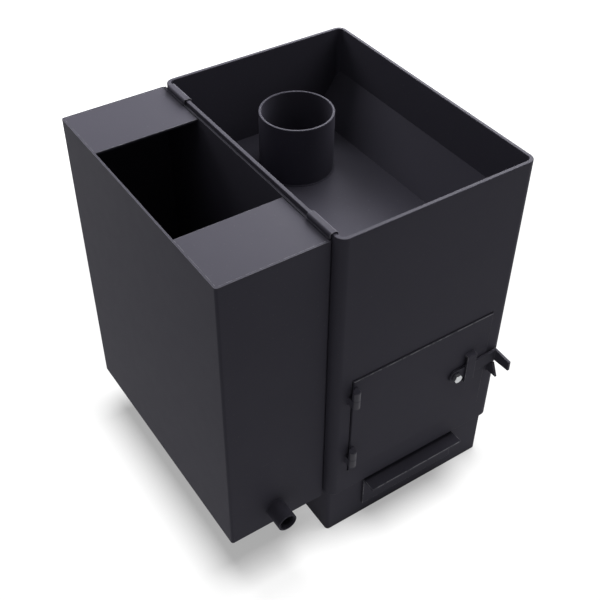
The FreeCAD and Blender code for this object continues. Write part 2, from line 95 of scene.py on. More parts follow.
# Patterns of the paint: sizes, ranges of their noise, and what they change
CLOUDS = 160 * MM
CLOUD_TONES = (0.94, 1.06)
MOTTLE = 22 * MM
MOTTLE_BUMP = 0.6
SPECKS = 3.4 * MM
SPECK_RANGE = (0.70, 0.78)
RUBS = 9 * MM
RUB_RANGE = (0.38, 0.62)
DUST = 0.10  # share of the pale edge colour in a dust speck
EDGE_WEAR_AND_HIGHLIGHT = (0.15, 0.90)  # least and greatest share of the pale colour on an edge, as rubbed-thin paint and painted highlight
MOTTLE_ROUGH = 0.10  # changes of the roughness
CLOUD_ROUGH = 0.04
EDGE_ROUGH = 0.10

# Patterns of the metals
ZINC_HAZE = 1.6 * MM
ZINC_TONES = (0.86, 1.12)
ZINC_ROUGH = (0.22, 0.38)
ZINC_SCRATCHES = 0.5 * MM
SCRATCH_DEPTH = 0.01 * MM
STEEL_CLOUDS = 4 * MM
STEEL_TONES = (0.8, 1.15)
STEEL_ROUGH = (0.30, 0.45)
STEEL_RINGS = 900  # scale of the wave that makes the rings
IRON_CLOUDS = 20 * MM
IRON_TONES = (0.7, 1.3)
IRON_ROUGH = (0.66, 0.86)
IRON_SAND = 1.2 * MM
SAND_DEPTH = 0.25 * MM

# Turned and threaded pieces
SIDES = 72
TURNED_ANGLE = math.radians(30)  # edges that bend more than this are shaded sharp
THREAD_DEPTH = 0.55  # depth of a thread in shares of its pitch
CHAMFER_ROUND = 0.95  # circle that a chamfer leaves of a hexagon's face, in shares of its width
CHAMFER_SLOPE = math.tan(math.radians(30))
SHANK = 4.0 * MM
HEAD_FLAT = 0.93  # flat of the bolt's head, in shares of the chamfer's circle
HEAD_DISH = 0.05 * MM
HEAD_COLLAR = 0.35 * MM
ROD_CHAMFER = 0.4 * MM
ROD_STEP = 0.5 * MM  # length in which the shank narrows to the thread's core
ROD_BARE = 0.3 * MM  # core left bare at each end of the thread
NUT_CHAMFER = 0.4 * MM
NUT_PLAY = 0.02 * MM
OUTLET_EDGE = 0.6 * MM
OUTLET_BARE = 2 * MM  # root left bare at the outlet's mouth

# Weld beads
RIPPLE_SIZES = (0.86, 1.10)
RIPPLE_LAP = 1.15  # length of a ripple in shares of the distance between them
BEAD_GAP = MM  # distance of a bead from the end of a piece
HINGE_HALF = 15.8 * MM  # height of a hinge half
HOOK_LENGTH = 50 * MM
HOOK_RISE = 7.8 * MM  # from a hook's foot to the top of its bend
ASH_BOX_CORNER = 6 * MM
KEEPER_BEAD = 7 * MM  # upper end of the beads on the keeper, which stay clear of the lever
RING_STEPS = 96
CORNER_STEPS = 8

# Stage
SENSOR = 36
CLIP_END = 50
LIFT_RANGE = (0.7, 1.3)  # distances from the origin between which the floor turns white
AIM = Vector((0, 0, 0.4))
LAMP_AWAY = 2.6
LAMP_SIZE = 1.3
LAMPS = {  # setting of the power, heading and height in degrees
    "low lamp": ("low_power", 44, 28),
    "back lamp": ("back_power", 100, 42),
    "high lamp": ("high_power", 38, 48),
    "side lamp": ("side_power", 0, 42),
    "front lamp": ("front_power", 325, 58),
    "left lamp": ("left_power", 175, 48),
}
FLOOR_LAMP_PLACE = (0.55, 0.15, 4.0)
FLOOR_LAMP_SIZE = 2.8
LOW_PIECES = ("firebox_floor", "ash_box_shell", "ash_drawer_front", "ash_pan", "tank_bottom", "outlet_nipple")


# Settings

class PaintSettings(bpy.types.PropertyGroup):
    """Black heat-resistant paint on the sheets."""
    colour: FloatVectorProperty(
        name="Colour", description="Colour of the paint", subtype="COLOR", size=3, min=0, max=1,
        default=(0.0420, 0.0402, 0.0530))
    # Pale colour of the edges, as paint rubbed thin and as painted highlight; dust specks take it too.
    worn_and_highlight_colour: FloatVectorProperty(
        name="Worn and highlight colour", description="Colour of the paint rubbed thin on the sheets' edges", subtype="COLOR",
        size=3, min=0, max=1, default=(0.170, 0.168, 0.186))
    roughness: FloatProperty(
        name="Roughness", description="Middle roughness of the paint", default=0.60, min=0, max=1)
    gloss: FloatProperty(
        name="Gloss", description="Specular level of the paint", default=0.04, min=0, max=1)
    rubbed_roughness: FloatProperty(
        name="Rubbed roughness", description="Middle roughness of the paint on the hinges", default=0.42, min=0,
        max=1)
    rubbed_gloss: FloatProperty(
        name="Rubbed gloss", description="Specular level of the paint on the hinges", default=0.16, min=0, max=1)
    grain: FloatProperty(
        name="Grain", description="Size of the spray grain", default=0.9 * MM, min=0.0001, unit="LENGTH")
    grain_depth: FloatProperty(
        name="Grain depth", description="Height of the spray grain", default=0.03 * MM, min=0, unit="LENGTH")
    edge: FloatProperty(
        name="Edge", description="Rounding of the sheets' cut edges", default=0.45 * MM, min=0, unit="LENGTH")


class MetalSettings(bpy.types.PropertyGroup):
    """Zinc plate, bare steel and cast iron."""
    zinc: FloatVectorProperty(
        name="Zinc", description="Colour of the zinc-plated bolt and nut", subtype="COLOR", size=3, min=0, max=1,
        default=(0.46, 0.47, 0.48))
    steel: FloatVectorProperty(
        name="Steel", description="Colour of the turned hinge pins", subtype="COLOR", size=3, min=0, max=1,
        default=(0.42, 0.42, 0.43))
    iron: FloatVectorProperty(
        name="Iron", description="Colour of the cast grate", subtype="COLOR", size=3, min=0, max=1,
        default=(0.050, 0.049, 0.050))


class WeldSettings(bpy.types.PropertyGroup):
    """Weld beads and screw threads."""
    bead: FloatProperty(
        name="Bead", description="Radius of a weld bead on thick sheet", default=2.0 * MM, min=0.0002,
        unit="LENGTH")
    thin_bead: FloatProperty(
        name="Thin bead", description="Radius of a weld bead on the door and the tank", default=1.3 * MM,
        min=0.0002, unit="LENGTH")
    ripple: FloatProperty(
        name="Ripple", description="Distance from one ripple of a bead to the next", default=1.9 * MM,
        min=0.0005, unit="LENGTH")
    seed: IntProperty(name="Seed", description="Seed of the ripples' uneven size", default=7, min=0)
    bolt_pitch: FloatProperty(
        name="Bolt pitch", description="Pitch of the latch bolt's thread", default=1.25 * MM, min=0.0002,
        unit="LENGTH")
    pipe_pitch: FloatProperty(
        name="Pipe pitch", description="Pitch of the outlet's pipe thread", default=1.814 * MM, min=0.0002,
        unit="LENGTH")
    pipe_thread: FloatProperty(
        name="Pipe thread", description="Length of the thread inside the outlet", default=16 * MM, min=0.001,
        unit="LENGTH")
    pipe_wall: FloatProperty(
        name="Pipe wall", description="Wall of the outlet from its outside to the crest of its thread",
        default=3.44 * MM, min=0.0005, unit="LENGTH")


class StageSettings(bpy.types.PropertyGroup):
    """Floor, light and camera."""
    floor_size: FloatProperty(
        name="Floor size", description="Side of the square floor", default=16, min=1, unit="LENGTH")
    floor_colour: FloatVectorProperty(
        name="Floor colour", description="Colour of the floor", subtype="COLOR", size=3, min=0, max=1,
        default=(0.30, 0.30, 0.30))
    floor_lift: FloatProperty(
        name="Floor lift", description="White that the camera and gloss see on the floor under the stove",
        default=0.38, min=0, max=1)
    floor_glow: FloatProperty(
        name="Floor glow", description="Share of the floor's colour in the light that it throws on the stove",
        default=1.15, min=0, max=2)
    floor_power: FloatProperty(
        name="Floor power", description="Power of the overhead lamp that lights the floor alone", default=420,
        min=0, unit="POWER")
    sky: FloatProperty(
        name="Sky", description="Strength of the even light all round", default=0.125, min=0)
    low_power: FloatProperty(
        name="Low power", description="Power of the lamp low behind on the right", default=132, min=0,
        unit="POWER")
    back_power: FloatProperty(
        name="Back power", description="Power of the lamp straight behind", default=42, min=0, unit="POWER")
    high_power: FloatProperty(
        name="High power", description="Power of the lamp high behind on the right", default=45, min=0,
        unit="POWER")
    side_power: FloatProperty(
        name="Side power", description="Power of the lamp on the right", default=42, min=0, unit="POWER")
    front_power: FloatProperty(
        name="Front power", description="Power of the lamp in front on the right", default=13, min=0,
        unit="POWER")
    left_power: FloatProperty(
        name="Left power", description="Power of the lamp on the left", default=4, min=0, unit="POWER")
    camera_place: FloatVectorProperty(
        name="Camera place", description="Where the camera stands", subtype="TRANSLATION", unit="LENGTH", size=3,
        default=(-0.70881, -0.95267, 1.33684))
    camera_turn: FloatVectorProperty(
        name="Camera turn", description="Pitch, roll and heading of the camera", subtype="EULER", size=3,
        default=(math.radians(-42.35), math.radians(0.57), math.radians(-34.0)))
    lens: FloatProperty(
        name="Lens", description="Focal length for a 36 mm sensor", default=59.06, min=1, unit="CAMERA")


# Node trees

class Wire:
    """Output of a node; sums, products and so on of wires and numbers add Math nodes."""

    def __init__(self, maker, socket):
        self.maker = maker
        self.socket = socket

    def maths(self, operation, first, second):
        return self.maker.node("ShaderNodeMath", {"operation": operation}, {0: first, 1: second})

    def __add__(self, other):
        return self.maths("ADD", self, other)

    def __radd__(self, other):
        return self.maths("ADD", other, self)

    def __sub__(self, other):
        return self.maths("SUBTRACT", self, other)

    def __mul__(self, other):
        return self.maths("MULTIPLY", self, other)

    def __truediv__(self, other):
        return self.maths("DIVIDE", self, other)


class Maker:
    """Adds nodes to one tree."""

    def __init__(self, tree):
        self.tree = tree

    def node(self, kind, settings, sockets, output=0):
        """New node with its settings, then its sockets' values or wires; gives a wire from one of its outputs."""
        made = self.tree.nodes.new(kind)
        for name, value in settings.items():
            setattr(made, name, value)
        for name, value in sockets.items():
            if isinstance(value, Wire):
                self.tree.links.new(value.socket, made.inputs[name])
            else:
                made.inputs[name].default_value = value
        return Wire(self, made.outputs[output])

    def place(self):
        """Place in the object's own coordinates."""
        return self.node("ShaderNodeTexCoord", {}, {}, "Object")

    def noise(self, size, detail=2.0, rough=0.5):
        """Noise of about that size in metres over the object's own coordinates."""
        sockets = {"Vector": self.place(), "Scale": 1 / size, "Detail": detail, "Roughness": rough}
        return self.node("ShaderNodeTexNoise", {}, sockets, "Fac")

    def between(self, value, low, high):
        """Value stretched so that low gives 0 and high gives 1."""
        sockets = {"Value": value, "From Min": low, "From Max": high}
        return self.node("ShaderNodeMapRange", {"clamp": True, "interpolation_type": "SMOOTHSTEP"}, sockets)

    def mix(self, share, first, second):
        """Colour between two colours."""
        return self.node("ShaderNodeMix", {"data_type": "RGBA"}, {0: share, 6: first, 7: second}, 2)

    def span(self, share, low, high):
        """Value that goes from low to high."""
        return share * (high - low) + low

    def uneven(self, share, colour, low, high):
        """Colour times a factor that goes from low to high."""
        return self.mix(share, rgba(colour, low), rgba(colour, high))

    def bump(self, height, distance):
        """Normal that a height in shares of a distance gives."""
        return self.node("ShaderNodeBump", {}, {"Strength": 1.0, "Distance": distance, "Height": height})


def rgba(colour, factor=1.0):
    """Colour with a factor, as a socket takes it."""
    return (*[channel * factor for channel in colour], 1)


def finish(name, **sockets):
    """New material whose shader has those sockets, the maker of its nodes, and the shader."""
    material = bpy.data.materials.new(name)
    material.use_nodes = True
    shader = material.node_tree.nodes["Principled BSDF"]
    for socket, value in sockets.items():
        shader.inputs[socket.replace("_", " ")].default_value = value
    return material, Maker(material.node_tree), shader


def wire_up(maker, shader, **sockets):
    """Leads wires to sockets of the shader."""
    for socket, wire in sockets.items():
        maker.tree.links.new(wire.socket, shader.inputs[socket.replace("_", " ")])


# Materials

def black_paint(rubbed=False):
    """Sprayed satin black with fine grain, cloudy gloss and dust; its edges paler, as paint rubbed thin and as
    painted highlight, most on upper edges; shinier where hands rub it.
    """
    name = "rubbed paint" if rubbed else "black paint"
    if name in bpy.data.materials:
        return bpy.data.materials[name]
    look = bpy.context.scene.stove_paint
    gloss = look.rubbed_gloss if rubbed else look.gloss
    middle = look.rubbed_roughness if rubbed else look.roughness
    material, maker, shader = finish(name, Specular_IOR_Level=gloss)
    clouds = maker.noise(CLOUDS, 3)
    mottle = maker.noise(MOTTLE, 4, 0.6)
    grain = maker.noise(look.grain, 2)
    specks = maker.between(maker.noise(SPECKS, 1), *SPECK_RANGE)
    rub = maker.between(maker.noise(RUBS, 4, 0.65), *RUB_RANGE)
    # Mark on the faces: 1 on rounded edges, more on narrow upward faces; it drives the painted highlight and the
    # rubbed-thin paint of the edges.
    edge = maker.node("ShaderNodeAttribute", {"attribute_name": WEAR_AND_HIGHLIGHT}, {}, "Fac")
    pale_tone = rgba(look.worn_and_highlight_colour)
    tone = maker.uneven(clouds, look.colour, *CLOUD_TONES)
    tone = maker.mix(specks * DUST, tone, pale_tone)
    # Edges take the pale colour: partly paint rubbed thin, partly painted highlight, most on the upper edges.
    tone = maker.mix(edge * maker.span(rub, *EDGE_WEAR_AND_HIGHLIGHT), tone, pale_tone)
    rough = middle + (mottle - 0.5) * MOTTLE_ROUGH + (clouds - 0.5) * CLOUD_ROUGH - edge * EDGE_ROUGH
    normal = maker.bump(grain + mottle * MOTTLE_BUMP, look.grain_depth)
    wire_up(maker, shader, Base_Color=tone, Roughness=rough, Normal=normal)
    return material


def zinc_plate():
    """Bright zinc with a fine brushed haze."""
    look = bpy.context.scene.stove_metal
    material, maker, shader = finish("zinc plate", Metallic=1.0)
    haze = maker.noise(ZINC_HAZE, 3)
    tone = maker.uneven(haze, look.zinc, *ZINC_TONES)
    normal = maker.bump(maker.noise(ZINC_SCRATCHES, 2), SCRATCH_DEPTH)
    wire_up(maker, shader, Base_Color=tone, Roughness=maker.span(haze, *ZINC_ROUGH), Normal=normal)
    return material


def bare_steel():
    """Turned steel with rings round the pins."""
    look = bpy.context.scene.stove_metal
    material, maker, shader = finish("turned steel", Metallic=1.0)
    sockets = {"Vector": maker.place(), "Scale": STEEL_RINGS, "Distortion": 0.4}
    rings = maker.node("ShaderNodeTexWave", {"bands_direction": "Z"}, sockets, "Fac")
    tone = maker.uneven(maker.noise(STEEL_CLOUDS, 3), look.steel, *STEEL_TONES)
    normal = maker.bump(rings, SCRATCH_DEPTH)
    wire_up(maker, shader, Base_Color=tone, Roughness=maker.span(rings, *STEEL_ROUGH), Normal=normal)
    return material


def cast_iron():
    """Rough sand-cast iron."""
    look = bpy.context.scene.stove_metal
    material, maker, shader = finish("cast iron", Specular_IOR_Level=0.3)
    sand = maker.noise(IRON_SAND, 4, 0.7)
    tone = maker.uneven(maker.noise(IRON_CLOUDS, 4), look.iron, *IRON_TONES)
    normal = maker.bump(sand, SAND_DEPTH)
    wire_up(maker, shader, Base_Color=tone, Roughness=maker.span(sand, *IRON_ROUGH), Normal=normal)
    return material


# Meshes from meshes

def evaluated(mesh, kind, settings, inputs, name):
    """Plain mesh that a modifier with those settings and inputs makes from a mesh."""
    holder = bpy.data.objects.new(name, mesh)
    bpy.context.scene.collection.objects.link(holder)
    modifier = holder.modifiers.new(name, kind)
    for setting, value in settings.items():
        setattr(modifier, setting, value)
    for identifier, value in inputs.items():
        modifier[identifier] = value
    bpy.context.view_layer.update()
    result = bpy.data.meshes.new_from_object(holder.evaluated_get(bpy.context.evaluated_depsgraph_get()))
    bpy.data.objects.remove(holder)
    result.name = name
    return result


def grown(mesh, tree, values, name):
    """Plain mesh that a tree of geometry nodes makes from a mesh with those input values."""
    sockets = [item for item in tree.interface.items_tree if item.in_out == "INPUT" and item.name in values]
    inputs = {socket.identifier: values[socket.name] for socket in sockets}
    return evaluated(mesh, "NODES", {"node_group": tree}, inputs, name)


def joined(meshes, name):
    """One mesh from several."""
    shape = bmesh.new()
    for mesh in meshes:
        shape.from_mesh(mesh)
    whole = bpy.data.meshes.new(name)
    shape.to_mesh(whole)
    shape.free()
    return whole


def softened(node, edge, upper_highlight):
    """Mesh of a node with its sharp edges rounded and marked for paler paint, as paint rubbed thin and painted
    highlight; its upper edges marked more, as painted highlight, if asked for.
    """
    shape = bmesh.new()
    shape.from_mesh(frame["nodes"][node].data)
    bmesh.ops.remove_doubles(shape, verts=shape.verts, dist=SAME_PLACE)
    bmesh.ops.dissolve_limit(
        shape, angle_limit=FLAT_ANGLE, verts=shape.verts, edges=shape.edges, use_dissolve_boundaries=False)
    wear_and_highlight = shape.faces.layers.float.new(WEAR_AND_HIGHLIGHT)
    sharp = [line for line in shape.edges if line.is_manifold and line.calc_face_angle() > SHARP_ANGLE]
    made = bmesh.ops.bevel(
        shape, geom=sharp, offset=edge, offset_type="OFFSET", segments=2, profile=0.5, affect="EDGES",
        clamp_overlap=True, material=-1)
    for face in made["faces"]:
        face[wear_and_highlight] = 1.0
    shape.normal_update()
    # Narrow upward faces get a stronger mark: painted highlight where light from above falls on the upper edges.
    if upper_highlight > 1:
        for face in shape.faces:
            width = face.calc_area() / max(line.calc_length() for line in face.edges)
            if face.normal.z > UPWARD and width < ROUND_WIDTH:
                face[wear_and_highlight] = upper_highlight
    mesh = bpy.data.meshes.new(node + "_sharp")
    shape.to_mesh(mesh)
    shape.free()
    mesh.shade_smooth()
    mesh.set_sharp_from_angle(angle=SHARP_ANGLE)
    return evaluated(mesh, "WEIGHTED_NORMAL", {"weight": 100, "keep_sharp": True}, {}, node + "_dressed")


# Pieces

def placed(mesh, name, node):
    """Object of a finished mesh that rides with a node's body."""
    piece = bpy.data.objects.new(name, mesh)
    bpy.context.scene.collection.objects.link(piece)
    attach(piece, frame["nodes"][node]["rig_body"])
    return piece


def coat(mesh, material):
    """Gives a mesh one material."""
    mesh.materials.clear()
    mesh.materials.append(material)


def stand_in(mesh, node, material):
    """Puts a mesh in place of a node."""
    coat(mesh, material)
    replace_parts(placed(mesh, node + "_dressed", node), node)


def paint(nodes, edge, upper_highlight=1.0, rubbed=False):
    """Puts a painted piece with softened edges in place of each node."""
    for node in nodes:
        stand_in(softened(node, edge, upper_highlight), node, black_paint(rubbed))


def repaint(nodes, material):
    """Gives nodes that stay as they are a material."""
    for node in nodes:
        coat(frame["nodes"][node].data, material)


# Turned meshes

def turned(rings, centre, closed):
    """Mesh of rings round an axis along Y; a ring is its points' (radius, y) pairs. Open ends are capped."""
    shape = bmesh.new()
    loops = []
    for ring in rings:
        loop = []
        for step, (radius, y) in enumerate(ring):
            turn = 2 * math.pi * step / len(ring)
            place = (centre[0] + radius * math.cos(turn), y, centre[1] + radius * math.sin(turn))
            loop.append(shape.verts.new(place))
        loops.append(loop)
    pairs = list(zip(loops, loops[1:]))
    if closed:
        pairs.append((loops[-1], loops[0]))
    else:
        shape.faces.new(loops[0])
        shape.faces.new(loops[-1])
    for first, second in pairs:
        for a, b, c, d in zip(first, first[1:] + first[:1], second[1:] + second[:1], second):
            shape.faces.new((a, b, c, d))
    bmesh.ops.recalc_face_normals(shape, faces=shape.faces)
    mesh = bpy.data.meshes.new("turned")
    shape.to_mesh(mesh)
    shape.free()
    mesh.shade_smooth()
    mesh.set_sharp_from_angle(angle=TURNED_ANGLE)
    return mesh


def axis_place(low, high):
    """X and Z of a box's middle, where an axis along Y runs."""
    return (low[0] + high[0]) / 2, (low[2] + high[2]) / 2


def circle(radius, y):
    """Ring of one radius."""
    return [(radius, y)] * SIDES


def hexagon(across, y, face=None):
    """Ring of a hexagon; with the y of a face, the ring is cut by the 30 degree chamfer of that face."""
    ring = []
    for step in range(SIDES):
        turn = 2 * math.pi * step / SIDES
        radius = across / 2 / math.cos(turn % (math.pi / 3) - math.pi / 6)
        cut = max(0, radius - CHAMFER_ROUND * across / 2) * CHAMFER_SLOPE
        inward = 1 if face is not None and face < y else -1
        ring.append((radius, y if face is None else face + inward * cut))
    return ring


# Paths of weld beads

def lines(paths):
    """Mesh of the edges along some paths; a path is its points and whether it closes."""
    points, edges = [], []
    for path, closes in paths:
        first = len(points)
        points += path
        edges += [(first + step, first + step + 1) for step in range(len(path) - 1)]
        if closes:
            edges.append((len(points) - 1, first))
    mesh = bpy.data.meshes.new("paths")
    mesh.from_pydata(points, edges, [])
    return mesh


def straight_path(point, axis, start, end):
    """Path along an axis through a point, from one level to another."""
    return [tuple(level if a == axis else point[a] for a in range(3)) for level in (start, end)], False


def ring_path(low, high, axis, level):
    """Circle round a box's middle in the plane across an axis."""
    others = [a for a in range(3) if a != axis]
    middle = [(low[a] + high[a]) / 2 for a in others]
    radius = (high[others[0]] - low[others[0]]) / 2
    points = []
    for step in range(RING_STEPS):
        turn = 2 * math.pi * step / RING_STEPS
        point = [level] * 3
        point[others[0]] = middle[0] + radius * math.cos(turn)
        point[others[1]] = middle[1] + radius * math.sin(turn)
        points.append(tuple(point))
    return points, True


def corner_path(low, high, radius, level):
    """Level path round a box with rounded corners."""
    points = []
    for quarter, (x, y) in enumerate(((1, 1), (0, 1), (0, 0), (1, 0))):
        middle_x = high[0] - radius if x else low[0] + radius
        middle_y = high[1] - radius if y else low[1] + radius
        for step in range(CORNER_STEPS + 1):
            turn = math.radians(90 * quarter + 90 * step / CORNER_STEPS)
            points.append((middle_x + radius * math.cos(turn), middle_y + radius * math.sin(turn), level))
    return points, True


# Trees of geometry nodes

def geometry_tree(name, sizes):
    """Tree with a geometry input, named sizes and a material, its maker, wires from its sizes, and its ends."""
    tree = bpy.data.node_groups.new(name, "GeometryNodeTree")
    tree.interface.new_socket(name="Geometry", in_out="INPUT", socket_type="NodeSocketGeometry")
    for size in sizes:
        kind = "NodeSocketInt" if size == "Seed" else "NodeSocketFloat"
        tree.interface.new_socket(name=size, in_out="INPUT", socket_type=kind)
    tree.interface.new_socket(name="Material", in_out="INPUT", socket_type="NodeSocketMaterial")
    tree.interface.new_socket(name="Geometry", in_out="OUTPUT", socket_type="NodeSocketGeometry")
    start = tree.nodes.new("NodeGroupInput")
    end = tree.nodes.new("NodeGroupOutput")
    maker = Maker(tree)
    wires = {size: Wire(maker, start.outputs[size]) for size in ("Geometry", *sizes, "Material")}
    return tree, maker, wires, end


def close_tree(maker, wires, end, shape):
    """Ends a tree: instances made real, shaded smooth and given the material."""
    real = maker.node("GeometryNodeRealizeInstances", {}, {"Geometry": shape})
    smooth = maker.node("GeometryNodeSetShadeSmooth", {}, {"Geometry": real})
    done = maker.node("GeometryNodeSetMaterial", {}, {"Geometry": smooth, "Material": wires["Material"]})
    maker.tree.links.new(done.socket, end.inputs["Geometry"])


def bead_tree():
    """Tree that lays overlapping ripples of weld along the edges of a mesh."""
    if "weld bead" in bpy.data.node_groups:
        return bpy.data.node_groups["weld bead"]
    tree, maker, size, end = geometry_tree("weld bead", ("Bead", "Ripple", "Seed"))
    path = maker.node("GeometryNodeMeshToCurve", {}, {"Mesh": size["Geometry"]})
    steps = maker.node("GeometryNodeResampleCurve", {"mode": "LENGTH"}, {"Curve": path, "Length": size["Ripple"]})
    along = maker.node("GeometryNodeInputTangent", {}, {})
    turn = maker.node("FunctionNodeAlignRotationToVector", {"axis": "X"}, {"Vector": along})
    ball = maker.node("GeometryNodeMeshUVSphere", {}, {"Segments": 10, "Rings": 6, "Radius": 1.0}, "Mesh")
    least, most = RIPPLE_SIZES
    uneven = maker.node("FunctionNodeRandomValue", {"data_type": "FLOAT"},
                        {2: least, 3: most, "Seed": size["Seed"]}, 1)
    across = size["Bead"] * uneven
    scale = maker.node("ShaderNodeCombineXYZ", {}, {"X": size["Ripple"] * RIPPLE_LAP, "Y": across, "Z": across})
    beads = maker.node("GeometryNodeInstanceOnPoints", {},
                       {"Points": steps, "Instance": ball, "Rotation": turn, "Scale": scale})
    close_tree(maker, size, end, beads)
    return tree


def thread_tree():
    """Tree that winds a thread's ridge round an axis along Y, from a place towards -Y."""
    if "screw thread" in bpy.data.node_groups:
        return bpy.data.node_groups["screw thread"]
    tree, maker, size, end = geometry_tree("screw thread", ("Radius", "Pitch", "Length", "X", "Y", "Z"))
    turns = size["Length"] / size["Pitch"]
    depth = size["Pitch"] * THREAD_DEPTH
    core = size["Radius"] - depth
    helix = maker.node("GeometryNodeCurveSpiral", {}, {
        "Resolution": 40, "Rotations": turns, "Start Radius": core, "End Radius": core, "Height": size["Length"]})
    upright = maker.node("GeometryNodeSetCurveNormal", {"mode": "Z_UP"}, {"Curve": helix})
    section = maker.node("GeometryNodeCurvePrimitiveCircle", {"mode": "RADIUS"},
                         {"Resolution": 4, "Radius": depth}, "Curve")
    ridge = maker.node("GeometryNodeCurveToMesh", {},
                       {"Curve": upright, "Profile Curve": section, "Fill Caps": True})
    place = maker.node("ShaderNodeCombineXYZ", {}, {axis: size[axis] for axis in "XYZ"})
    turn = maker.node("FunctionNodeEulerToRotation", {}, {"Euler": (math.radians(90), 0, 0)})
    set_in = maker.node("GeometryNodeTransform", {},
                        {"Geometry": ridge, "Translation": place, "Rotation": turn})
    close_tree(maker, size, end, set_in)
    return tree


def thread(radius, pitch, length, place, material, name):
    """Mesh of a thread's ridge from a place towards -Y."""
    sizes = {"Radius": radius, "Pitch": pitch, "Length": length, "Material": material}
    sizes.update(zip("XYZ", place))
    return grown(lines([]), thread_tree(), sizes, name)


# Stage pieces

def seen_straight(maker):
    """1 for rays from the camera, or by way of gloss or glass, and 0 for the rest."""
    camera, gloss, glass = [
        maker.node("ShaderNodeLightPath", {}, {}, "Is %s Ray" % kind)
        for kind in ("Camera", "Glossy", "Transmission")]
    return maker.between(camera + gloss + glass, 0, 1)


def set_floor(stage):
    """Pale floor that the camera sees as white where no shadow lies."""
    half = stage.floor_size / 2
    mesh = bpy.data.meshes.new("floor")
    mesh.from_pydata([(-half, -half, 0), (half, -half, 0), (half, half, 0), (-half, half, 0)], [], [(0, 1, 2, 3)])
    floor = bpy.data.objects.new("floor", mesh)
    lit = bpy.data.collections.new("floor")
    bpy.context.scene.collection.children.link(lit)
    lit.objects.link(floor)
    material, maker, shader = finish(
        "pale floor", Roughness=0.9, Specular_IOR_Level=0.0, Emission_Strength=1.0)
    straight = seen_straight(maker)
    tone = maker.mix(straight, rgba(stage.floor_colour, stage.floor_glow), rgba(stage.floor_colour))
    away = maker.node("ShaderNodeVectorMath", {"operation": "LENGTH"}, {0: maker.place()}, "Value")
    lift = maker.span(maker.between(away, *LIFT_RANGE), stage.floor_lift, 1)
    wire_up(maker, shader, Base_Color=tone, Emission_Color=straight * lift)
    mesh.materials.append(material)


def lamp(name, power, size, place, turn):
    """Soft square lamp."""
    light = bpy.data.lights.new(name, "AREA")
    light.energy = power
    light.size = size
    holder = bpy.data.objects.new(name, light)
    holder.location = place
    holder.rotation_euler = turn
    bpy.context.scene.collection.objects.link(holder)
    return holder


def set_surround(scene, stage):
    """Even surround that the camera and gloss see as white."""
    world = bpy.data.worlds.new("studio")
    world.use_nodes = True
    scene.world = world
    maker = Maker(world.node_tree)
    surround = world.node_tree.nodes["Background"]
    surround.inputs["Color"].default_value = (1, 1, 1, 1)
    strength = maker.span(seen_straight(maker), stage.sky, 1)
    maker.tree.links.new(strength.socket, surround.inputs["Strength"])


def set_lamps(stage):
    """Soft lamps for all but the floor, most of them on the right and behind."""
    aside = bpy.data.collections.new("all but the floor")
    aside.objects.link(bpy.data.objects["floor"])
    aside.collection_objects[0].light_linking.link_state = "EXCLUDE"
    for name, (power, heading, height) in LAMPS.items():
        turn, rise = math.radians(heading), math.radians(height)
        away = Vector((math.cos(rise) * math.cos(turn), math.cos(rise) * math.sin(turn), math.sin(rise)))
        facing = away.to_track_quat("Z", "Y").to_euler()
        holder = lamp(name, getattr(stage, power), LAMP_SIZE, AIM + LAMP_AWAY * away, facing)
        holder.light_linking.receiver_collection = aside


def set_floor_lamp(stage):
    """Overhead lamp for the floor alone, in which only the low pieces throw a shadow."""
    overhead = lamp("floor lamp", stage.floor_power, FLOOR_LAMP_SIZE, FLOOR_LAMP_PLACE, (0, 0, 0))
    overhead.light_linking.receiver_collection = bpy.data.collections["floor"]
    low_pieces = bpy.data.collections.new("low pieces")
    for node in LOW_PIECES:
        low_pieces.objects.link(bpy.data.objects.get(node + "_dressed") or frame["nodes"][node])
    overhead.light_linking.blocker_collection = low_pieces


def set_camera(scene, stage):
    """Camera of the picture."""
    camera = bpy.data.objects.new("camera", bpy.data.cameras.new("camera"))
    camera.data.lens = stage.lens
    camera.data.sensor_width = SENSOR
    camera.data.clip_end = CLIP_END
    pitch, roll, heading = stage.camera_turn
    turn = Matrix.Rotation(heading, 4, "Z") @ Matrix.Rotation(math.pi / 2 + pitch, 4, "X")
    camera.matrix_world = Matrix.Translation(stage.camera_place) @ turn @ Matrix.Rotation(roll, 4, "Z")
    scene.collection.objects.link(camera)
    scene.camera = camera


# Operators

class STOVE_OT_shell(bpy.types.Operator):
    """Paints the body shell and the ash box with softened edges"""
    bl_idname = "stove.shell"
    bl_label = "Body and ash box"

    def execute(self, context):
        paint(("body_shell", "ash_box_shell"), context.scene.stove_paint.edge)
        repaint(("ash_box_base",), black_paint())
        return {"FINISHED"}


class STOVE_OT_basket(bpy.types.Operator):
    """Paints the folded basket floor and the flue collar"""
    bl_idname = "stove.basket"
    bl_label = "Stone basket"

    def execute(self, context):
        paint(("basket_floor", "flue_collar"), context.scene.stove_paint.edge)
        return {"FINISHED"}


class STOVE_OT_hearth(bpy.types.Operator):
    """Finishes the grate, its floor and seats, the door stop and the drawer's runners"""
    bl_idname = "stove.hearth"
    bl_label = "Hearth"

    def execute(self, context):
        edge = context.scene.stove_paint.edge
        stand_in(softened("fire_grate", GRATE_EDGE * edge, 1.0), "fire_grate", cast_iron())
        paint(("door_stop", "drawer_runners"), edge)
        repaint(("firebox_floor", "grate_seats"), black_paint())
        return {"FINISHED"}


class STOVE_OT_door(bpy.types.Operator):
    """Paints the door and its hinges and turns the hinge pins bright"""
    bl_idname = "stove.door"
    bl_label = "Door and hinges"

    def execute(self, context):
        edge = context.scene.stove_paint.edge
        paint(("door_plate",), DOOR_EDGE * edge, FRONT_HIGHLIGHT)
        paint(("hinge_door_halves", "hinge_frame_halves"), HINGE_EDGE * edge, rubbed=True)
        repaint(("hinge_pins",), bare_steel())
        return {"FINISHED"}


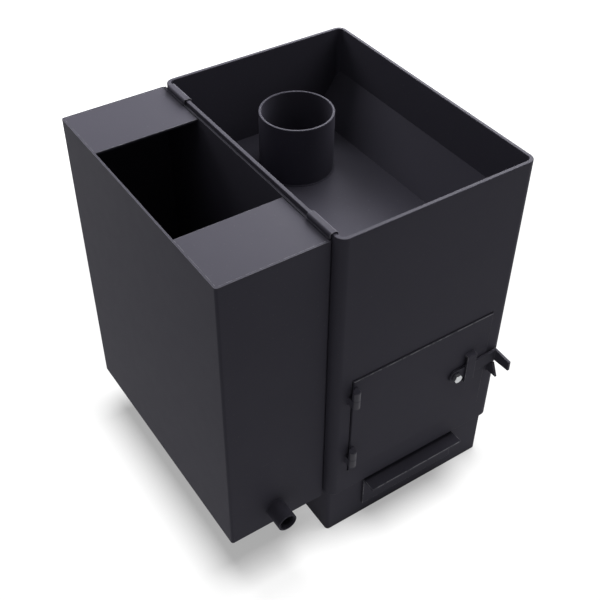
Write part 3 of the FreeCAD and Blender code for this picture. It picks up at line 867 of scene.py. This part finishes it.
class STOVE_OT_latch(bpy.types.Operator):
    """Paints the latch's lever, guide strap and keeper"""
    bl_idname = "stove.latch"
    bl_label = "Latch"

    def execute(self, context):
        edge = LATCH_EDGE * context.scene.stove_paint.edge
        paint(("latch_lever", "latch_guide", "latch_keeper"), edge)
        return {"FINISHED"}


class STOVE_OT_bolt(bpy.types.Operator):
    """Makes the latch's zinc-plated bolt and nut and paints its washers"""
    bl_idname = "stove.bolt"
    bl_label = "Latch bolt"

    def execute(self, context):
        zinc = zinc_plate()
        low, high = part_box("latch_bolt")
        nut_low, nut_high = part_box("latch_nut")
        centre = axis_place(low, high)
        face, seat, tip = low[1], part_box("latch_washers")[0][1], high[1]
        near, far = nut_low[1], nut_high[1]
        across = high[2] - low[2]
        flat = CHAMFER_ROUND * across / 2
        lip = seat - HEAD_COLLAR
        pitch = context.scene.stove_weld.bolt_pitch
        core = SHANK - THREAD_DEPTH * pitch
        head = [circle(HEAD_FLAT * flat, face), circle(flat, face + HEAD_DISH), hexagon(across, lip, face)]
        head += [hexagon(across, lip), circle(flat, lip), circle(flat, seat)]
        rod = [circle(SHANK, seat), circle(SHANK, near), circle(core, near + ROD_STEP)]
        rod += [circle(core, tip - ROD_CHAMFER), circle(core - ROD_CHAMFER, tip)]
        place = (centre[0], tip - ROD_BARE, centre[1])
        ridge = thread(SHANK, pitch, tip - near - 2 * ROD_BARE, place, zinc, "bolt_thread")
        bolt = joined((turned(head + rod, centre, False), ridge), "latch_bolt_dressed")
        hole = SHANK + NUT_PLAY
        mouth = hole + NUT_CHAMFER
        middle = (near + far) / 2
        nut = [circle(mouth, near), circle(flat, near), hexagon(across, middle, near)]
        nut += [hexagon(across, middle, far), circle(flat, far), circle(mouth, far)]
        nut += [circle(hole, far - NUT_CHAMFER), circle(hole, near + NUT_CHAMFER)]
        stand_in(bolt, "latch_bolt", zinc)
        stand_in(turned(nut, centre, True), "latch_nut", zinc)
        paint(("latch_washers",), WASHER_EDGE)
        return {"FINISHED"}


class STOVE_OT_drawer(bpy.types.Operator):
    """Paints the ash drawer"""
    bl_idname = "stove.drawer"
    bl_label = "Ash drawer"

    def execute(self, context):
        edge = context.scene.stove_paint.edge
        paint(("ash_drawer_front",), DRAWER_EDGE * edge, FRONT_HIGHLIGHT)
        paint(("ash_pan",), edge)
        return {"FINISHED"}


class STOVE_OT_tank(bpy.types.Operator):
    """Paints the water tank and its hooks"""
    bl_idname = "stove.tank"
    bl_label = "Water tank"

    def execute(self, context):
        edge = context.scene.stove_paint.edge
        paint(("tank_walls",), edge, TANK_HIGHLIGHT)
        paint(("tank_front_cover", "tank_rear_cover", "tank_hooks"), edge)
        repaint(("tank_bottom",), black_paint())
        return {"FINISHED"}


class STOVE_OT_outlet(bpy.types.Operator):
    """Makes the tank's outlet, a socket with its thread inside"""
    bl_idname = "stove.outlet"
    bl_label = "Water outlet"

    def execute(self, context):
        weld = context.scene.stove_weld
        low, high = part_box("outlet_nipple")
        centre = axis_place(low, high)
        mouth, wall = low[1], high[1]
        outside = (high[0] - low[0]) / 2
        bore = outside - weld.pipe_wall
        depth = THREAD_DEPTH * weld.pipe_pitch
        root = bore + depth
        shoulder = mouth + weld.pipe_thread
        rings = [circle(outside, wall), circle(outside, mouth + OUTLET_EDGE), circle(outside - OUTLET_EDGE, mouth)]
        rings += [circle(root + OUTLET_EDGE, mouth), circle(root, mouth + OUTLET_EDGE), circle(root, shoulder)]
        rings += [circle(bore, shoulder + depth), circle(bore, wall)]
        place = (centre[0], shoulder, centre[1])
        run = weld.pipe_thread - OUTLET_BARE
        ridge = thread(root + depth, weld.pipe_pitch, run, place, black_paint(), "outlet_thread")
        mesh = joined((turned(rings, centre, True), ridge), "outlet_nipple_dressed")
        stand_in(mesh, "outlet_nipple", black_paint())
        return {"FINISHED"}


class STOVE_OT_welds(bpy.types.Operator):
    """Lays the weld beads of the stove, the door and the tank"""
    bl_idname = "stove.welds"
    bl_label = "Weld beads"

    def execute(self, context):
        weld = context.scene.stove_weld
        flue_low, flue_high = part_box("flue_collar")
        ash_low, ash_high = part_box("ash_box_shell")
        keep_low, keep_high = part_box("latch_keeper")
        guide_low, guide_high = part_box("latch_guide")
        frame_low, frame_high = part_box("hinge_frame_halves")
        leaf_low, leaf_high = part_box("hinge_door_halves")
        hook_low, hook_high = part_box("tank_hooks")
        pipe_low, pipe_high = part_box("outlet_nipple")
        hinge_end = HINGE_HALF - 2 * BEAD_GAP
        stove_paths = [ring_path(flue_low, flue_high, 2, flue_low[2])]
        for x in (keep_low[0], keep_high[0]):
            point = (x, keep_high[1], 0)
            stove_paths.append(straight_path(point, 2, keep_low[2] + BEAD_GAP, keep_low[2] + KEEPER_BEAD))
        for z in (frame_low[2], frame_high[2] - HINGE_HALF):
            point = (frame_low[0], frame_high[1], 0)
            stove_paths.append(straight_path(point, 2, z + BEAD_GAP, z + hinge_end))
        stove_paths.append(corner_path(ash_low, ash_high, ASH_BOX_CORNER, ash_high[2]))
        door_paths = []
        for z in (leaf_low[2], leaf_high[2] - HINGE_HALF):
            point = (leaf_high[0], leaf_high[1], 0)
            door_paths.append(straight_path(point, 2, z + BEAD_GAP, z + hinge_end))
        for z in (guide_low[2], guide_high[2]):
            point = (0, guide_high[1], z)
            door_paths.append(straight_path(point, 0, guide_low[0] + BEAD_GAP, guide_high[0] - BEAD_GAP))
        tank_paths = [ring_path(pipe_low, pipe_high, 1, pipe_high[1])]
        for y in (hook_low[1], hook_high[1] - HOOK_LENGTH):
            point = (hook_low[0], 0, hook_high[2] - HOOK_RISE)
            tank_paths.append(straight_path(point, 1, y + 2 * BEAD_GAP, y + HOOK_LENGTH - 2 * BEAD_GAP))
        for node, paths, bead in (
                ("body_shell", stove_paths, weld.bead), ("door_plate", door_paths, weld.thin_bead),
                ("tank_walls", tank_paths, weld.thin_bead)):
            sizes = {"Bead": bead, "Ripple": weld.ripple, "Seed": weld.seed, "Material": black_paint()}
            name = frame["nodes"][node]["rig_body"] + "_welds"
            mesh = grown(lines(paths), bead_tree(), sizes, name)
            placed(mesh, name, node)
        return {"FINISHED"}


class STOVE_OT_stage(bpy.types.Operator):
    """Sets the floor, the light and the camera"""
    bl_idname = "stove.stage"
    bl_label = "Stage"

    def execute(self, context):
        stage = context.scene.stove_stage
        set_floor(stage)
        set_surround(context.scene, stage)
        set_lamps(stage)
        set_floor_lamp(stage)
        set_camera(context.scene, stage)
        context.scene.view_settings.view_transform = "Standard"
        return {"FINISHED"}


class STOVE_PT_panel(bpy.types.Panel):
    """Lists the steps that dress the stove"""
    bl_idname = "STOVE_PT_panel"
    bl_label = "Sauna stove"
    bl_space_type = "VIEW_3D"
    bl_region_type = "UI"
    bl_category = "Stove"

    def draw(self, context):
        for step in STEPS:
            self.layout.operator(step.bl_idname)


STEPS = (
    STOVE_OT_shell, STOVE_OT_basket, STOVE_OT_hearth, STOVE_OT_door, STOVE_OT_latch, STOVE_OT_bolt,
    STOVE_OT_drawer, STOVE_OT_tank, STOVE_OT_outlet, STOVE_OT_welds, STOVE_OT_stage,
)
SETTINGS = {
    "stove_paint": PaintSettings, "stove_metal": MetalSettings, "stove_weld": WeldSettings,
    "stove_stage": StageSettings,
}


def register():
    for cls in (*SETTINGS.values(), *STEPS, STOVE_PT_panel):
        bpy.utils.register_class(cls)
    for name, group in SETTINGS.items():
        setattr(bpy.types.Scene, name, PointerProperty(type=group))


def unregister():
    for name in SETTINGS:
        delattr(bpy.types.Scene, name)
    for cls in reversed((*SETTINGS.values(), *STEPS, STOVE_PT_panel)):
        bpy.utils.unregister_class(cls)


def main():
    register()
    for step in STEPS:
        group, name = step.bl_idname.split(".")
        getattr(getattr(bpy.ops, group), name)()


if __name__ == "__main__":
    main()
